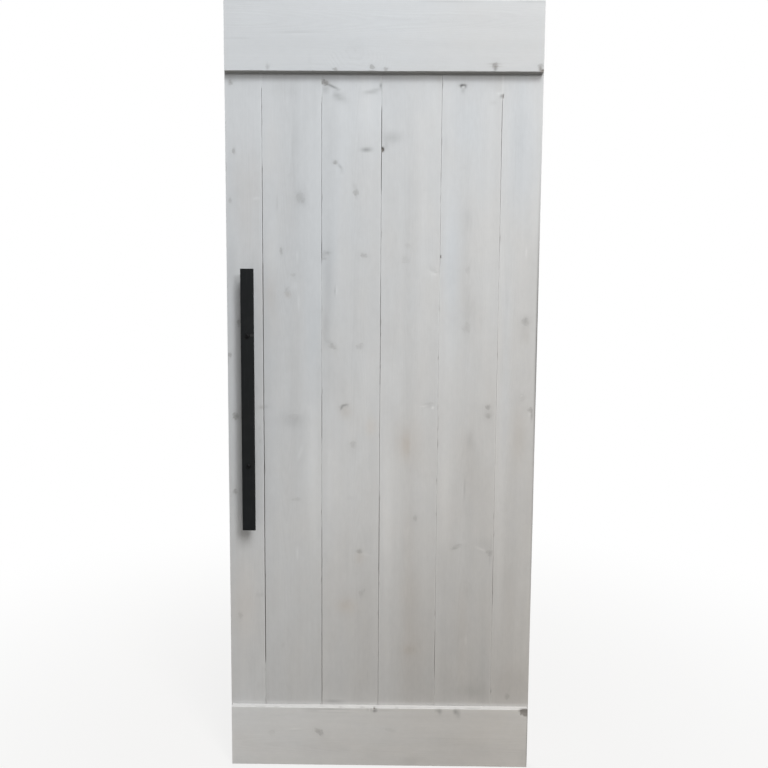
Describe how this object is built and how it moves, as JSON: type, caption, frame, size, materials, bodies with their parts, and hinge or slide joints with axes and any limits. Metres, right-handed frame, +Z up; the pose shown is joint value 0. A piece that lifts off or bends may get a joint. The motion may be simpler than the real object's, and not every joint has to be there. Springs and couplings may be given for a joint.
{
  "type": "sliding barn door leaf",
  "caption": "Leaf of a sliding plank door in whitewashed knotty softwood, with tongue-and-groove boards, plain top and bottom rails and a black flat bar pull.",
  "frame": {"origin": "middle of the leaf's bottom edge, in the plane where the rails lie on the faces of the boards", "axes": "+X to the right seen from the front, +Y from the front towards the back, +Z up"},
  "size_m": [0.862, 0.0742, 2.134],
  "materials": {
    "whitewashed_boards": "thin matt grey-white wash over knotty softwood",
    "whitewashed_rails": "thin matt grey-white wash over knotty softwood",
    "black_powder_coat": "fine textured satin black powder coat",
    "black_oxide_steel": "oiled black oxide",
    "zinc_plated_steel": "dull zinc plate"
  },
  "bodies": {
    "root": {"plank_1": "whitewashed_boards", "plank_2": "whitewashed_boards", "plank_3": "whitewashed_boards", "plank_4": "whitewashed_boards", "plank_5": "whitewashed_boards", "plank_6": "whitewashed_boards", "top_rail": "whitewashed_rails", "bottom_rail": "whitewashed_rails", "top_rail_screws": "zinc_plated_steel", "bottom_rail_screws": "zinc_plated_steel", "pull_bar": "black_powder_coat", "upper_standoff": "black_powder_coat", "lower_standoff": "black_powder_coat", "upper_bolt": "black_oxide_steel", "lower_bolt": "black_oxide_steel", "upper_washer": "zinc_plated_steel", "lower_washer": "zinc_plated_steel", "upper_nut": "zinc_plated_steel", "lower_nut": "zinc_plated_steel"}
  },
  "joints": []
}
